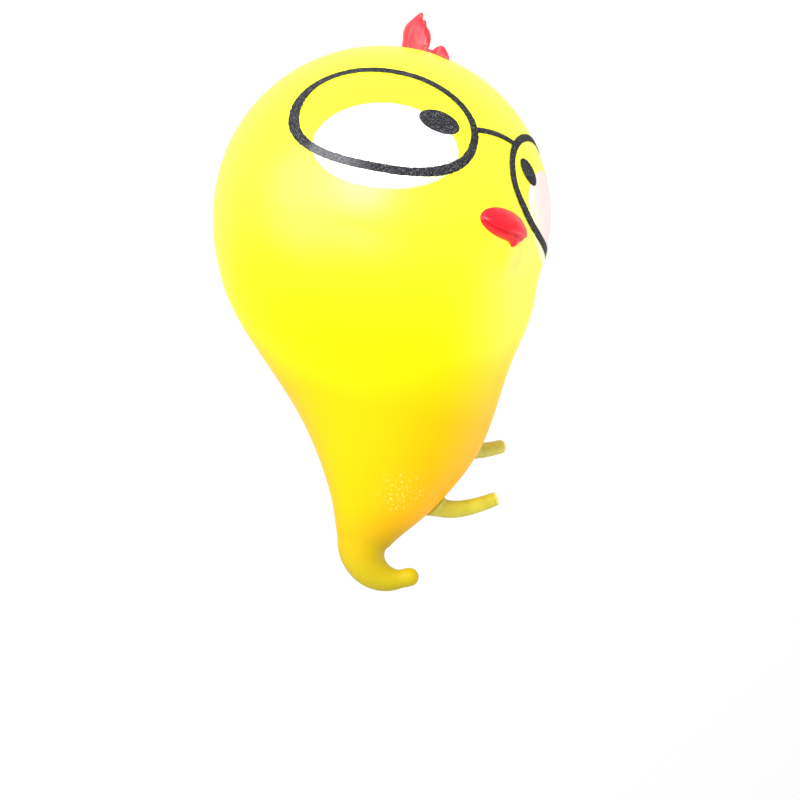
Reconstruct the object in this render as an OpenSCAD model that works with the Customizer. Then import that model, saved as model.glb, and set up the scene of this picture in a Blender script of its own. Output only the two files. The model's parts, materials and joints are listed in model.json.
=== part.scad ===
// Rubber chicken: a soft squeeze toy, modelled as it looks while a fist holds its lower end.
// Frame: the origin is the middle of the fist's grip, +Z runs up the head's axis to the comb,
// the beak faces -Y and the toy's own left side is +X. All sizes are millimetres and degrees.

/* [Head] */
// Diameter of the round head
head_d = 80; // [66:1:100]
// Height of the head's centre above the grip
head_rise = 50; // [44:1:62]
// Thickness of the rubber wall
wall = 1.8; // [1.2:0.1:2.4]

/* [Lower end] */
// How far the cheek stands outside the ball, a little below its middle
cheek_swell = 1.9; // [0:0.1:3]
// Sideways lean of the cheek's centre
cheek_lean = 1.35; // [0:0.05:2.5]
// Radius of the shoulder, three quarters of a head radius below the head's centre
shoulder_r = 33; // [28:0.5:37]
// Sideways lean of the shoulder's centre
shoulder_lean = 3.6; // [0:0.2:6]
// Radius of the waist, level with the grip
waist_r = 22; // [17:0.5:26]
// Sideways lean of the waist's centre
waist_lean = 11.5; // [5:0.5:14]
// Radius of the wrist, where the last fingers close
wrist_r = 13.3; // [9:0.5:15]
// Sideways lean of the wrist's centre
wrist_lean = 12.7; // [6:0.2:15]
// Depth of the wrist below the grip
wrist_drop = 15; // [12:0.5:18]
// Radius of the tail, where the curl begins
tail_r = 6.3; // [5:0.1:7.5]
// Sideways lean of the tail's centre
tail_lean = 10.4; // [6:0.2:13]
// Depth of the tail below the grip
tail_drop = 27; // [24:0.5:32]
// Radius of the curl's centre line
curl_r = 7.5; // [7:0.1:10]
// Angle that the curl turns through
curl_turn = 112; // [80:1:125]
// Length of the straight toe past the curl
toe_l = 2.2; // [0.4:0.2:5]
// Radius of the rubber at the toe's tip
tip_r = 2.2; // [1.6:0.1:3]
// Compass direction of the lean and of the curl, counted from +X
lean_dir = -44.5; // [-90:0.5:0]

/* [Glasses and eyes] */
// Right lens centre on the head: azimuth from the face, elevation and tilt
right_lens_at = [-50.9, 30.9, -0.7]; // [-60:0.1:60]
// Left lens centre on the head: azimuth from the face, elevation and tilt
left_lens_at = [35.3, 16.8, -12.5]; // [-60:0.1:60]
// Width and height of the right lens along the skin, between its line's centres
right_lens = [43.6, 27.8]; // [22:0.2:46]
// Width and height of the left lens along the skin, between its line's centres
left_lens = [43.6, 25.4]; // [22:0.2:46]
// Squareness of a lens, where 2 is a plain oval
lens_square = 2.2; // [2:0.05:2.6]
// Width of the printed line
line_w = 2; // [1.2:0.1:2.6]
// Share by which the line widens at the outer end of a lens
line_flare = 0.5; // [0:0.05:1]
// Angle on a lens at which the bridge meets it, up from its inner end
bridge_at = 32; // [10:1:45]
// Rise of the bridge's middle over a straight line between its ends
bridge_rise = 0.7; // [0:0.1:3]
// Width and height of the white in each eye
eye_white = [34, 21.6]; // [12:0.2:36]
// Place of the right white from its lens centre: sideways, up and tilt
right_white_at = [2.1, -7.8, 7.7]; // [-10:0.1:10]
// Place of the left white from its lens centre: sideways, up and tilt
left_white_at = [1.7, -5.6, -1.5]; // [-10:0.1:10]
// Width and height of the right pupil
right_pupil = [9.8, 6]; // [4:0.1:11]
// Width and height of the left pupil
left_pupil = [7.6, 4.9]; // [4:0.1:11]
// Place of the right pupil from its lens centre: sideways, up and tilt
right_pupil_at = [12.6, 1.9, -8.3]; // [-26:0.1:15]
// Place of the left pupil from its lens centre: sideways, up and tilt
left_pupil_at = [-14.9, 1.2, -25.5]; // [-26:0.1:15]
// Thickness of each layer of ink, drawn heavier than real ink
ink = 0.12; // [0.08:0.01:0.2]

/* [Comb, beak and legs] */
// Height of the comb's tall lobe above the head
comb_h = 9.2; // [5:0.2:12]
// Length of the comb's tall lobe, front to back
comb_l = 7.8; // [5:0.2:9.4]
// Length of the comb's small lobe, front to back
small_l = 5.6; // [3:0.2:7]
// Height of the comb's small lobe above the head
small_h = 2.9; // [2:0.1:4]
// Thickness of the comb from side to side
comb_t = 3.2; // [2:0.1:5]
// Distance between the comb's two lobes
comb_pitch = 9.2; // [7.4:0.2:11]
// Width of the beak
beak_w = 16; // [10:0.5:20]
// Height of the beak
beak_h = 7.2; // [5:0.2:10]
// How far the beak stands out from the face
beak_out = 4; // [2:0.2:7]
// Beak's middle on the head: azimuth from the face, elevation and tilt
beak_at = [-0.5, 1.5, -6]; // [-10:0.5:10]
// Diameter of a leg where it leaves the body
leg_d = 4.8; // [3:0.1:6]
// Diameter of a leg at its end
leg_end_d = 3.3; // [2:0.1:4.5]
// Length of a leg
leg_l = 16; // [10:0.5:22]
// Rise of the left leg's end over its root
left_leg_rise = 1.5; // [0:0.5:8]
// Rise of the right leg's end over its root
right_leg_rise = 4; // [0:0.5:8]
// Direction of the left leg around the body, counted from the lean
left_leg_dir = 40; // [20:1:70]
// Direction of the right leg around the body, counted from the lean
right_leg_dir = 14; // [0:1:40]

/* [Filling] */
// Diameter of the plug that closes the filling hole
plug_d = 6; // [4:0.2:8]
// Gap between pieces that lie against each other
gap = 0.1; // [0.06:0.01:0.2]

/* [Hidden] */

yellow = [0.98, 0.92, 0.02];
gold = [0.86, 0.78, 0.16];
red = [0.93, 0.12, 0.2];
black = [0.16, 0.16, 0.18];
white = [0.98, 0.98, 0.94];

head_r = head_d / 2;
sides = 40;
head_end = 100;
head_start = 8;
head_step = 9.2;
round_end = [25, 50, 72];
curl_steps = 7;
cheek_drop = 0.44;
shoulder_drop = 0.75;
shoulder_z = head_rise - shoulder_drop * head_r;

// unit vectors: toward the lean, and square to it on the level
lean_v = [cos(lean_dir), sin(lean_dir), 0];
back_v = [-sin(lean_dir), cos(lean_dir), 0];
up_v = [0, 0, 1];

// Body of rings. A ring is [lean, height, radius, tilt].
function head_ring(a) = [0, head_rise + head_r * cos(a), head_r * sin(a), 0];
neck = [head_ring(85), head_ring(head_end),
    [cheek_lean, head_rise - cheek_drop * head_r,
        head_r * sqrt(1 - pow(cheek_drop, 2)) + cheek_swell, 0],
    [shoulder_lean, shoulder_z, shoulder_r, 0],
    [waist_lean, 0, waist_r, 0],
    [wrist_lean, -wrist_drop, wrist_r, 0],
    [tail_lean, -tail_drop, tail_r, 0],
    [tail_lean, -tail_drop - curl_r, tail_r - (tail_r - tip_r) / 2, 0]];
// smooth curve through four neighbouring rings, from b to c
function through(a, b, c, d, t) = 0.5 * (2 * b + (c - a) * t
    + (2 * a - 5 * b + 4 * c - d) * t * t + (3 * b - a - 3 * c + d) * t * t * t);
// ring at curl angle a, or a straight step past it
function curl_ring(a, past = 0) = [tail_lean + curl_r * (1 - cos(a)) + past * sin(a),
    -tail_drop - curl_r * sin(a) - past * cos(a), tail_r + (tip_r - tail_r) * a / curl_turn, a];
// a round end past ring g, at angle a from its edge to its tip
function end_ring(g, a) = [g[0] + g[2] * sin(a) * sin(g[3]), g[1] - g[2] * sin(a) * cos(g[3]),
    g[2] * cos(a), g[3]];

neck_steps = 4;
// all rings from the crown to an end "past" curl angle "stop", drawn in by "inset"
function rings(inset, stop, past) = let (
    head = [for (a = [head_start:head_step:head_end - 1]) head_ring(a)],
    middle = [for (i = [0:len(neck) - 4], k = [0:neck_steps - 1])
        through(neck[i], neck[i + 1], neck[i + 2], neck[i + 3], k / neck_steps)],
    curl = [for (i = [0:curl_steps]) curl_ring(i * stop / curl_steps)],
    last = curl_ring(stop, past))
    concat([for (g = concat(head, middle, curl, past > 0 ? [last] : [])) inset_ring(g, inset)],
        [for (a = round_end) end_ring(inset_ring(last, inset), a)]);
// the head's rings shrink towards its centre, the others straight inwards
function inset_ring(g, inset) = g[1] > head_ring(head_end)[1]
    ? [g[0], head_rise + (g[1] - head_rise) * (head_r - inset) / head_r,
        g[2] * (head_r - inset) / head_r, g[3]]
    : [g[0], g[1], g[2] - inset, g[3]];
function ring_point(g, a) = lean_v * g[0] + up_v * g[1] + g[2] * (
    cos(a) * (cos(g[3]) * lean_v + sin(g[3]) * up_v) + sin(a) * back_v);

// closed tube through lists of points, each list one ring, with a point at each end
module loft(first, rows, last) {
    n = len(rows[0]);
    m = len(rows);
    points = concat([first], [for (row = rows) each row], [last]);
    polyhedron(points, concat(
        [for (j = [0:n - 1]) [0, 1 + (j + 1) % n, 1 + j]],
        [for (i = [0:m - 2], j = [0:n - 1]) each let (
            a = 1 + i * n + j, b = 1 + i * n + (j + 1) % n)
            [[a, b + n, a + n], [a, b, b + n]]],
        [for (j = [0:n - 1])
            [m * n + 1, 1 + (m - 1) * n + j, 1 + (m - 1) * n + (j + 1) % n]]),
        convexity = 8);
}

module body_form(inset, stop, past) {
    g = rings(inset, stop, past);
    e = end_ring(inset_ring(curl_ring(stop, past), inset), 90);
    loft([0, 0, head_rise + head_r - inset],
        [for (r = g) [for (j = [0:sides - 1]) ring_point(r, j * 360 / sides)]],
        lean_v * e[0] + up_v * e[1]);
}

// Slope of the waist's wall, and a direction square to it at angle a from the lean
waist_slope = atan2(shoulder_r - wrist_r, shoulder_z + wrist_drop);
wrist_slope = atan2(waist_r - tail_r, tail_drop);
function around(a) = cos(a) * lean_v + sin(a) * back_v;
function square_out(a, slope) = cos(slope) * around(a) - sin(slope) * up_v;

module at_plug() {
    translate(lean_v * waist_lean + around(90) * waist_r)
        rotate([0, 90 + waist_slope, lean_dir + 90]) children();
}

hollow_stop = 45;
plug_proud = 0.6;
plug_length = plug_proud + wall * cos(waist_slope) - 2 * gap;

module skin() {
    color(yellow) difference() {
        body_form(0, curl_turn, toe_l);
        body_form(wall, hollow_stop, 0);
        at_plug() translate([0, 0, -2 * wall])
            cylinder(d = plug_d + 2 * gap, h = 4 * wall, $fn = 48);
    }
}

module filling() {
    color(white) body_form(wall + gap, hollow_stop, 0);
}

module fill_plug() {
    color(gold) at_plug() translate([0, 0, plug_proud - plug_length])
        cylinder(d = plug_d, h = plug_length, $fn = 48);
}

// Directions on the head. A place is [azimuth from the face, elevation, tilt].
function toward(place) = [cos(place[1]) * sin(place[0]), -cos(place[1]) * cos(place[0]),
    sin(place[1])];
// the direction that lies x to the side and y up from a place, in its tilted frame
function on_head(place, x, y) = let (
    far = norm([x, y]) / head_r * 180 / PI,
    way = place[2] + (far == 0 ? 0 : atan2(y, x)),
    side = [cos(place[0]), sin(place[0]), 0],
    up = cross(toward(place), side))
    cos(far) * toward(place) + sin(far) * (cos(way) * side + sin(way) * up);
// the place that lies a step [sideways, up, tilt] from another place
function stepped(place, step) = let (d = on_head(place, step[0], step[1]))
    [atan2(d[0], -d[1]), asin(d[2]), place[2] + step[2]];
function lifted(direction, lift) = up_v * head_rise + (head_r + lift) * direction;

// The two layers of ink: white lies on the skin and black lies over the white
skin_gap = 0.09;
white_lift = skin_gap;
black_lift = white_lift + ink + gap;

// oval patch of ink around a place, with its width and height in size
module oval_print(place, size, lift, steps, rows) {
    function ring(k, high) = [for (i = [0:steps - 1]) let (a = -i * 360 / steps)
        lifted(on_head(place, size[0] / 2 * k / rows * cos(a), size[1] / 2 * k / rows * sin(a)),
            high)];
    loft(lifted(toward(place), lift),
        concat([for (k = [1:rows]) ring(k, lift)], [for (k = [rows:-1:1]) ring(k, lift + ink)]),
        lifted(toward(place), lift + ink));
}

// closed ribbon of ink through corners [inner edge, outer edge] pairs
module ribbon(pairs, closed) {
    n = len(pairs);
    points = [for (p = pairs) each p];
    last = closed ? n - 1 : n - 2;
    sides_of = [for (i = [0:last], k = [0:3]) let (
        a = 4 * i, b = 4 * ((i + 1) % n), m = (k + 1) % 4)
        each [[a + k, b + m, b + k], [a + k, a + m, b + m]]];
    ends = closed ? [] : [[0, 2, 1], [0, 3, 2],
        [4 * n - 4, 4 * n - 3, 4 * n - 2], [4 * n - 4, 4 * n - 2, 4 * n - 1]];
    polyhedron(points, concat(sides_of, ends), convexity = 6);
}

// corners of the black line between two directions
function line_corners(inner, outer) = [lifted(inner, black_lift), lifted(outer, black_lift),
    lifted(outer, black_lift + ink), lifted(inner, black_lift + ink)];

// Outline of a lens at angle a: a point, moved out along its normal by "out"
function power(v, p) = sign(v) * pow(abs(v), p);
function outline(size, a, out) = let (
    p = 2 / lens_square,
    n = [power(cos(a), 2 - p) / size[0], power(sin(a), 2 - p) / size[1]])
    [size[0] / 2 * power(cos(a), p), size[1] / 2 * power(sin(a), p)] + n / norm(n) * out;

rim_steps = 56;
flare_power = 6;
// side is 1 for the left lens and -1 for the right, so the outer end has side * cos(a) = 1
module rim(place, size, side) {
    color(black) ribbon([for (i = [0:rim_steps - 1]) let (
        a = i * 360 / rim_steps,
        half = line_w / 2 * (1 + line_flare * pow(max(0, side * cos(a)), flare_power)),
        inner = outline(size, a, -half),
        outer = outline(size, a, half))
        line_corners(on_head(place, inner[0], inner[1]), on_head(place, outer[0], outer[1]))],
        true);
}
module rim_left() { rim(left_lens_at, left_lens, 1); }
module rim_right() { rim(right_lens_at, right_lens, -1); }

// the bridge runs between the inner ends of the rims and stops just short of them
bridge_gap = 0.3;
bridge_steps = 8;
bridge_w_share = 0.7;
bridge_w = line_w * bridge_w_share;
function rim_end(place, size, a) = let (p = outline(size, a, line_w / 2 + bridge_gap))
    on_head(place, p[0], p[1]);
bridge_from_at = bridge_at / 2;
bridge_from = rim_end(right_lens_at, right_lens, bridge_from_at);
bridge_to = rim_end(left_lens_at, left_lens, 180 - bridge_at);
function bridge_way(t) = let (
    straight = (1 - t) * bridge_from + t * bridge_to,
    raised = straight + up_v * bridge_rise / head_r * 4 * t * (1 - t))
    raised / norm(raised);
module bridge() {
    color(black) ribbon([for (i = [0:bridge_steps]) let (
        middle = bridge_way(i / bridge_steps),
        along = bridge_way((i + 1) / bridge_steps) - bridge_way((i - 1) / bridge_steps),
        edge = cross(middle, along) / norm(cross(middle, along)) * bridge_w / 2 / head_r)
        line_corners(middle + edge, middle - edge)], false);
}

white_rows = 6;
white_steps = 40;
module eye_white(place) {
    color(white) oval_print(place, eye_white, white_lift, white_steps, white_rows);
}
module eye_white_left() { eye_white(stepped(left_lens_at, left_white_at)); }
module eye_white_right() { eye_white(stepped(right_lens_at, right_white_at)); }

pupil_rows = 3;
pupil_steps = 28;
module pupil(place, size) {
    color(black) oval_print(place, size, black_lift, pupil_steps, pupil_rows);
}
module pupil_left() { pupil(stepped(left_lens_at, left_pupil_at), left_pupil); }
module pupil_right() { pupil(stepped(right_lens_at, right_pupil_at), right_pupil); }

// Comb: a tall onion lobe on the crown and a small lobe in front of it, on a thin web
module on_crown(forward) {
    translate([0, 0, head_rise]) rotate([forward / head_r * 180 / PI, 0, 0])
        translate([0, 0, head_r]) children();
}
module bead(y, z, d) { translate([0, y, z]) sphere(d = d, $fn = 20); }
// the comb's foot stands clear of the ball by three gaps
comb_foot = comb_t / 2 + 3 * gap;
web_share = 0.6;
web_d = comb_t * web_share;
web_z = web_d / 2 + 3 * gap;
// shares of the comb's height and thickness that shape the tall lobe
foot_share = 0.9;
belly_rise = 0.4;
shoulder_rise = 0.62;
shoulder_share = 0.8;
neck_rise = 0.58;
neck_t = 0.75;
tip_t = 0.4;
tip_lean = 0.06;
module tall_lobe() {
    belly = comb_l / 2 - comb_t / 2;
    hull() {
        for (y = [-belly, belly]) {
            bead(y * foot_share, comb_foot, comb_t);
            bead(y, comb_h * belly_rise, comb_t);
        }
        bead(0, comb_h * shoulder_rise, comb_t * shoulder_share);
    }
    hull() {
        bead(0, comb_h * neck_rise, comb_t * neck_t);
        bead(-comb_l * tip_lean, comb_h - comb_t * tip_t / 2, comb_t * tip_t);
    }
}
small_share = 0.75;
module small_lobe() {
    thick = comb_t * small_share;
    hull() {
        bead(small_l / 2 - web_d / 2, web_z, web_d);
        bead(-small_l / 2 + web_d / 2, web_z, web_d);
        bead(0, small_h - thick / 2, thick);
    }
}
module comb() {
    color(red) union() {
        on_crown(0) tall_lobe();
        on_crown(comb_pitch) small_lobe();
        for (half = [0, 1]) hull() for (share = [half, half + 1])
            on_crown(comb_pitch * share / 2) bead(0, web_z, web_d);
    }
}

// Beak: one short lip that stands out from the face and covers its mouth line
module on_face(place) {
    translate([0, 0, head_rise]) rotate([0, 0, place[0]]) rotate([-place[1], 0, 0])
        translate([0, -head_r, 0]) rotate([0, -place[2], 0]) children();
}
beak_steps = 20;
beak_rows = 8;
beak_foot = 3 * gap;
beak_fullness = 0.8;
// a point of the lip at angle a and share k of its rows, raised by "high"
function lip(a, k, high) = let (
    spread = sin(k * 90 / beak_rows),
    x = beak_w / 2 * cos(a) * spread,
    z = beak_h / 2 * sin(a) * spread)
    [x, (pow(x, 2) + pow(z, 2)) / 2 / head_r - high, z];
function lip_ring(k, high) = [for (i = [0:beak_steps - 1]) lip(-i * 360 / beak_steps, k, high)];
module beak() {
    color(red) on_face(beak_at) loft([0, -beak_foot, 0],
        concat(
            [for (k = [1:beak_rows]) lip_ring(k, beak_foot)],
            [for (k = [beak_rows - 1:-1:1]) lip_ring(k, beak_foot
                + (beak_out - beak_foot) * pow(cos(k * 90 / beak_rows), beak_fullness))]),
        [0, -beak_out, 0]);
}

// Legs: soft pegs that leave the body square to its wall and then bend up
leg_sides = 16;
leg_steps = 8;
knee_share = 0.3;
reach_share = 0.92;
function bend(a, b, c, t) = (1 - t) * (1 - t) * a + 2 * t * (1 - t) * b + t * t * c;
module leg(foot, out, tip) {
    knee = foot + out * leg_l * knee_share;
    side = cross(out, up_v) / norm(cross(out, up_v));
    rows = [for (i = [0:leg_steps]) let (
        t = i / leg_steps,
        way = (1 - t) * (knee - foot) + t * (tip - knee),
        ahead = way / norm(way),
        over = cross(side, ahead) / norm(cross(side, ahead)),
        r = leg_d / 2 + (leg_end_d - leg_d) / 2 * t)
        [for (j = [0:leg_sides - 1]) bend(foot, knee, tip, t)
            + r * cos(j * 360 / leg_sides) * cross(ahead, over)
            + r * sin(j * 360 / leg_sides) * over]];
    color(gold) loft(foot, rows, tip);
}
// the foot of a leg stands off the round wall behind it
leg_gap = 3 * gap + pow(leg_d / 2, 2) / wrist_r;
// a leg that leaves a ring of the body in direction a, square to the wall's slope there
module leg_from(centre, radius, a, slope, rise) {
    root = centre + around(a) * radius;
    out = square_out(a, slope);
    leg(root + out * leg_gap, out, root + around(a) * leg_l * reach_share + up_v * rise);
}
module leg_left() {
    leg_from(lean_v * waist_lean, waist_r, left_leg_dir, waist_slope, left_leg_rise);
}
module leg_right() {
    leg_from(lean_v * wrist_lean - up_v * wrist_drop, wrist_r, right_leg_dir, wrist_slope,
        right_leg_rise);
}

skin();
filling();
fill_plug();
comb();
beak();
leg_left();
leg_right();
rim_left();
rim_right();
bridge();
eye_white_left();
eye_white_right();
pupil_left();
pupil_right();
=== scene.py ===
# %% [markdown]
# # A rubber chicken, held in an unseen fist
# The real toy is a bag of soft yellow rubber filled with gel. A fist around its lower end has
# pushed the gel up, so the head is a tight ball and the lower end is a thin curl. This script
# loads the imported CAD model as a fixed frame, and makes each visible piece again with more
# shape and a better finish, in metres, in the same frame.

# %% Load the frame and keep its box
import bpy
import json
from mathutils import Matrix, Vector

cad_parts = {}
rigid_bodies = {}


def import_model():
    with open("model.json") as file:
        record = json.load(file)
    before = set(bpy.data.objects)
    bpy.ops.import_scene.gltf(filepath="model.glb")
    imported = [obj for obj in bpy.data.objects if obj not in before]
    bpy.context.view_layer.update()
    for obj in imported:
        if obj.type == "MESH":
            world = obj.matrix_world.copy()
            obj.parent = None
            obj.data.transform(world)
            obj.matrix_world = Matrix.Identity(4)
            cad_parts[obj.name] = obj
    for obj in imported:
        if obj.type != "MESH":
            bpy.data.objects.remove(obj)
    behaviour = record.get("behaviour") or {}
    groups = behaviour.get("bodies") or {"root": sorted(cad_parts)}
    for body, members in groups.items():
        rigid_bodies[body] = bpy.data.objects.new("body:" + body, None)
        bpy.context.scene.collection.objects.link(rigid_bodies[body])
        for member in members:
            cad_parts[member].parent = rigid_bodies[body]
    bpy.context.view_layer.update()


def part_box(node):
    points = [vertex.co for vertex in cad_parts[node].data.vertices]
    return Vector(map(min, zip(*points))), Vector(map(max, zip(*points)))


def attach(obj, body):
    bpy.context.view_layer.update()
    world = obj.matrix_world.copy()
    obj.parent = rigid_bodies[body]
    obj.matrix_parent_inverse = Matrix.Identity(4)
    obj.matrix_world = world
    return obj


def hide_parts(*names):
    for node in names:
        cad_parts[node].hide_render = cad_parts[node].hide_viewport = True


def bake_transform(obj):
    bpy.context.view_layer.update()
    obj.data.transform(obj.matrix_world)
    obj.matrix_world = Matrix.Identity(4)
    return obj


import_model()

import json
from math import asin, atan2, copysign, cos, degrees, exp, hypot, pi, radians, sin, sqrt

import bmesh
import bpy
from mathutils import Matrix, Vector, noise
from mathutils.bvhtree import BVHTree

MM = 0.001

# %% [markdown]
# ## Driving sizes
# The head is a ball, so its radius and its centre come straight from the box of the CAD skin.
# The lower end is the same chain of rings as in the CAD source: each has a lean to the side,
# a height, a radius and a tilt. Repeating those few sizes here keeps both surfaces the same.

# %% Sizes of the head and the lower end
skin_low, skin_high = (Vector(corner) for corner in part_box("skin"))
HEAD_R = (skin_high.x - skin_low.x) / 2
HEAD_CENTRE = Vector((0, 0, skin_high.z - HEAD_R))
LEAN_DIR = radians(-44.5)
LEAN = Vector((cos(LEAN_DIR), sin(LEAN_DIR), 0))
BACK = Vector((-sin(LEAN_DIR), cos(LEAN_DIR), 0))
UP = Vector((0, 0, 1))
CHEEK_DROP = 0.44
CHEEK = (1.35 * MM, HEAD_CENTRE.z - CHEEK_DROP * HEAD_R,
         HEAD_R * sqrt(1 - CHEEK_DROP ** 2) + 1.9 * MM)
SHOULDER = (3.6 * MM, HEAD_CENTRE.z - 0.75 * HEAD_R, 33 * MM)
WAIST = (11.5 * MM, 0, 22 * MM)
WRIST = (12.7 * MM, -15 * MM, 13.3 * MM)
TAIL = (10.4 * MM, -27 * MM, 6.3 * MM)
CURL_R = 7.5 * MM
CURL_TURN = 112
TOE_L = 2.2 * MM
TIP_R = 2.2 * MM
WALL = 1.8 * MM
HEAD_END = 100
print("head radius", round(HEAD_R / MM, 2), "mm, centre at", round(HEAD_CENTRE.z / MM, 2), "mm")

# %% [markdown]
# ## One function to make a mesh, one to loft a tube
# Nearly every piece here is a closed tube of rings with a point at each end: the skin, the
# gel, the legs, the beak and each lobe of the comb. A mesh built from a formula is exact and
# repeatable, where a sculpt is not, so one loft function serves them all.

# %% Mesh helpers
def make_piece(name, points, faces):
    """A smooth-shaded piece from points and faces, with its faces turned outwards."""
    mesh = bpy.data.meshes.new(name)
    mesh.from_pydata([tuple(p) for p in points], [], faces)
    mesh.validate()
    bm = bmesh.new()
    bm.from_mesh(mesh)
    bmesh.ops.recalc_face_normals(bm, faces=bm.faces)
    bm.to_mesh(mesh)
    bm.free()
    for polygon in mesh.polygons:
        polygon.use_smooth = True
    piece = bpy.data.objects.new(name, mesh)
    bpy.context.scene.collection.objects.link(piece)
    return piece


def loft(first, rows, last):
    """Points and faces of a closed tube through rings of points, with a point at each end."""
    n, m = len(rows[0]), len(rows)
    points = [first] + [p for row in rows for p in row] + [last]
    faces = [(0, 1 + (j + 1) % n, 1 + j) for j in range(n)]
    for i in range(m - 1):
        for j in range(n):
            a, b = 1 + i * n + j, 1 + i * n + (j + 1) % n
            faces.append((a, b, b + n, a + n))
    end = 1 + (m - 1) * n
    faces += [(m * n + 1, end + j, end + (j + 1) % n) for j in range(n)]
    return points, faces


can = loft(Vector(), [[Vector((cos(a), sin(a), z)) for a in (0, 2, 4)] for z in (1, 2)], Vector())
print("a loft of two three-sided rings:", len(can[0]), "points,", len(can[1]), "faces")

# %% [markdown]
# ## The skin's form
# The rings run from the crown down the ball, through a smooth curve over the shoulder, waist
# and wrist, and round the curl at the bottom. Small soft swellings are added where the real
# moulding has them: a mound that carries the beak and a chin below it.

# %% Rings of the body
def head_ring(a):
    """The ball's ring at a degrees from the crown: lean, height, radius and tilt."""
    a = radians(a)
    return (0, HEAD_CENTRE.z + HEAD_R * cos(a), HEAD_R * sin(a), 0)


def curl_ring(a, past=0.0):
    """The ring at a degrees round the curl, or a straight step past it."""
    share = a / CURL_TURN
    a = radians(a)
    return (TAIL[0] + CURL_R * (1 - cos(a)) + past * sin(a),
            TAIL[1] - CURL_R * sin(a) - past * cos(a), TAIL[2] + (TIP_R - TAIL[2]) * share, a)


def through(a, b, c, d, t):
    """A ring between b and c, on a smooth curve that also passes a and d."""
    return tuple(0.5 * (2 * q + (r - p) * t + (2 * p - 5 * q + 4 * r - s) * t * t
                        + (3 * q - p - 3 * r + s) * t ** 3)
                 for p, q, r, s in zip(a, b, c, d))


NECK = [head_ring(85), head_ring(HEAD_END), (*CHEEK, 0), (*SHOULDER, 0), (*WAIST, 0), (*WRIST, 0),
        (*TAIL, 0), (TAIL[0], TAIL[1] - CURL_R, (TAIL[2] + TIP_R) / 2, 0)]


def body_rings(inset, stop, past, fine):
    """All rings from the crown to a round end at an angle of the curl, drawn in by inset."""
    head = [head_ring(a * HEAD_END / (16 * fine)) for a in range(1, 16 * fine)]
    neck = [through(*NECK[i:i + 4], k / (6 * fine)) for i in range(5) for k in range(6 * fine)]
    curl = [curl_ring(k * stop / (6 * fine)) for k in range(6 * fine + 1)]
    curl += [curl_ring(stop, past * k / fine) for k in range(1, fine + 1) if past]
    rings = []
    for lean, height, radius, tilt in head + neck + curl:
        if height > head_ring(HEAD_END)[1]:
            shrink = (HEAD_R - inset) / HEAD_R
            height = HEAD_CENTRE.z + (height - HEAD_CENTRE.z) * shrink
            rings.append((lean, height, radius * shrink, tilt))
        else:
            rings.append((lean, height, radius - inset, tilt))
    lean, height, radius, tilt = rings[-1]
    for k in range(1, 3 * fine):
        a = k * pi / (6 * fine)
        rings.append((lean + radius * sin(a) * sin(tilt), height - radius * sin(a) * cos(tilt),
                      radius * cos(a), tilt))
    tip = LEAN * (lean + radius * sin(tilt)) + UP * (height - radius * cos(tilt))
    return rings, tip


def ring_points(ring, sides):
    """The points of a ring, as many as its sides."""
    lean, height, radius, tilt = ring
    centre = LEAN * lean + UP * height
    flat = LEAN * cos(tilt) + UP * sin(tilt)
    return [centre + radius * (cos(t) * flat + sin(t) * BACK)
            for t in (2 * pi * j / sides for j in range(sides))]


def body_form(name, inset, stop, past, fine, sides):
    """The closed form of the body; fine sets how many rings it has."""
    rings, tip = body_rings(inset, stop, past, fine)
    crown = HEAD_CENTRE + UP * (HEAD_R - inset)
    return make_piece(name, *loft(crown, [ring_points(r, sides) for r in rings], tip))


toe = body_rings(0, CURL_TURN, TOE_L, 4)[1]
print("body:", len(body_rings(0, CURL_TURN, TOE_L, 4)[0]), "rings, down to a toe at",
      [round(c / MM, 1) for c in toe], "mm")

# %% [markdown]
# ## Directions on the head
# A printer sets an eye by how far round and how far up the ball it goes, and so do we: an
# azimuth counted from the beak, an elevation and a tilt. The print was laid on by hand and then
# stretched, so each eye has its own place, and white and pupil are set from their lens.

# %% Points on the skin
def toward(place):
    """The direction of a place: azimuth from the beak, elevation and tilt, in degrees."""
    a, e = radians(place[0]), radians(place[1])
    return Vector((cos(e) * sin(a), -cos(e) * cos(a), sin(e)))


def along_head(place, x, y):
    """The direction that lies x to the side and y up from a place, in its tilted frame."""
    out = toward(place)
    side = Vector((cos(radians(place[0])), sin(radians(place[0])), 0))
    up = out.cross(side)
    far, way = hypot(x, y) / HEAD_R, atan2(y, x) + radians(place[2])
    return cos(far) * out + sin(far) * (cos(way) * side + sin(way) * up)


def stepped(place, step):
    """The place a step (sideways, up, tilt) away from another place."""
    d = along_head(place, step[0] * MM, step[1] * MM)
    return degrees(atan2(d.x, -d.y)), degrees(asin(d.z)), place[2] + step[2]


def swell(point, centre, height, spread):
    """A soft swelling of the skin around a place on the head."""
    far = (point - centre).length / spread
    return height * max(0, 1 - far * far) ** 2


print("a step of 10 mm up the forehead goes to", [round(c, 1) for c in stepped((0, 0, 0), (0, 10, 0))])

# %% [markdown]
# ## The skin
# The beak stands on a low mound, and there is a second, smaller one below it for the chin. The
# finished skin also answers one question for every print: where a line from the head's centre
# leaves the rubber.

# %% Make the skin
BEAK_PLACE = (-0.5, 1.5, -6)
CHIN_PLACE = (6, -8.5, 0)
MOUND_RISE, MOUND_SPREAD = 0.9 * MM, 12 * MM
CHIN_RISE, CHIN_SPREAD = 0.9 * MM, 6.5 * MM
SKIN_FINE, SKIN_SIDES = 4, 176
beak_on_ball = HEAD_CENTRE + HEAD_R * toward(BEAK_PLACE)
chin_on_ball = HEAD_CENTRE + HEAD_R * toward(CHIN_PLACE)

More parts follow.
